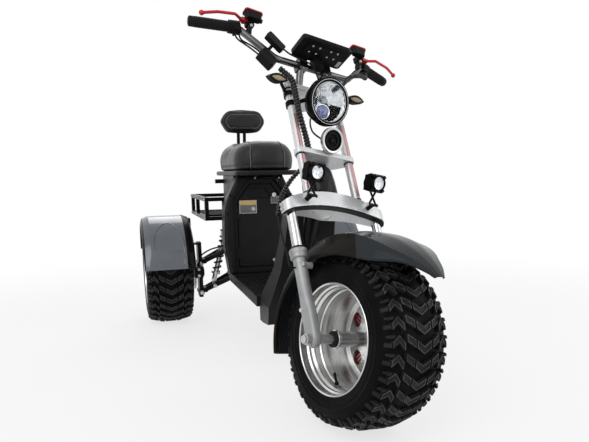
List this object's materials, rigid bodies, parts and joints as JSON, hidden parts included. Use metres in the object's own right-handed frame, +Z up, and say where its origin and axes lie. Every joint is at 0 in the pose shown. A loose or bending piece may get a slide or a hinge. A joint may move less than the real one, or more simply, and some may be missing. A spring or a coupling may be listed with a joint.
{
  "type": "electric three-wheeled scooter",
  "caption": "Electric motor scooter with a raked telescopic fork, off-road tyres, ribbed floorboard, padded seat with backrest, rear carrier and independent rear suspension.",
  "frame": {"origin": "on the ground under the middle of the bounding box", "axes": "+X to the rider's left, +Y towards the back, +Z up; the front looks along -Y"},
  "size_m": [1.024, 2.0792, 1.1893],
  "materials": {
    "black_leather": "padded, soft sheen, light piping",
    "black_metal": "satin black paint",
    "black_plastic": "fine grain, matt",
    "carbon_gloss": "dark grey gloss over a woven pattern",
    "chrome": "polished",
    "clear_glass": "clear",
    "grip_rubber": "ribbed, matt",
    "polished_alloy": "polished cast alloy",
    "red_anodised": "red anodised",
    "red_lens": "ribbed red lens",
    "silver_cast": "silver painted casting",
    "silver_paint": "silver gloss paint with dark red stripes",
    "spring_black": "gloss black coil",
    "steel": "machined",
    "tyre_rubber": "matt with a chunky block tread"
  },
  "bodies": {
    "chassis": {"arms_left": "black_metal", "arms_right": "black_metal", "backrest_frame": "black_metal", "backrest_pad": "black_leather", "battery_block": "black_plastic", "body_shell": "black_plastic", "floorboard": "black_plastic", "knuckle_left": "black_metal", "knuckle_right": "black_metal", "leg_shield": "black_plastic", "main_frame": "black_metal", "rear_fender_left": "carbon_gloss", "rear_fender_right": "carbon_gloss", "rear_hoses": "black_plastic", "rear_rack": "black_metal", "rear_signals": "black_plastic", "seat_base": "black_plastic", "seat_cushion": "black_leather", "shock_left": "steel", "shock_right": "steel", "spring_left": "spring_black", "spring_right": "spring_black", "tail_lamp": "red_lens"},
    "steering": {"aux_lamps": "black_metal", "aux_lenses": "clear_glass", "bar_boxes": "black_plastic", "brake_levers": "red_anodised", "display": "black_plastic", "fork_legs": "silver_cast", "front_axle": "steel", "front_cables": "black_plastic", "front_caliper": "black_metal", "front_fender": "carbon_gloss", "front_looms": "black_plastic", "front_signals": "black_plastic", "grips": "grip_rubber", "handlebar": "silver_paint", "headlamp": "black_plastic", "headlamp_lens": "clear_glass", "horn": "black_metal", "lower_yoke": "silver_cast", "master_caps": "red_anodised", "master_cylinders": "black_metal", "mid_yoke": "silver_cast", "stanchions": "chrome", "steering_stem": "steel", "switch_pods": "black_plastic", "top_yoke": "silver_cast", "upper_tubes": "silver_paint"},
    "front_wheel": {"front_rim": "polished_alloy", "front_tyre": "tyre_rubber", "front_disc": "steel"},
    "rear_wheel_right": {"rear_hub_right": "polished_alloy", "rear_tyre_right": "tyre_rubber"},
    "rear_wheel_left": {"rear_hub_left": "polished_alloy", "rear_tyre_left": "tyre_rubber"},
    "battery_door": {"battery_door": "black_plastic"}
  },
  "joints": [
    {"name": "steer", "type": "hinge", "parent": "chassis", "child": "steering", "pos_m": [0, -0.76102, 0.22184], "axis": [0, 0.5225, 0.8526], "range_deg": [-56.5, 19.5]},
    {"name": "front_wheel_spin", "type": "hinge", "parent": "steering", "child": "front_wheel", "pos_m": [0.01428, -0.79741, 0.24414], "axis": [0.9483, 0.2706, -0.1658], "continuous": true},
    {"name": "rear_right_spin", "type": "hinge", "parent": "chassis", "child": "rear_wheel_right", "pos_m": [-0.4, 0.58661, 0.24], "axis": [1, 0, 0], "continuous": true},
    {"name": "rear_left_spin", "type": "hinge", "parent": "chassis", "child": "rear_wheel_left", "pos_m": [0.4, 0.58661, 0.24], "axis": [1, 0, 0], "continuous": true},
    {"name": "battery_door_hinge", "type": "hinge", "parent": "chassis", "child": "battery_door", "pos_m": [-0.1, 0.30661, 0.43], "axis": [0, 0, -1], "range_deg": [0, 90]}
  ]
}
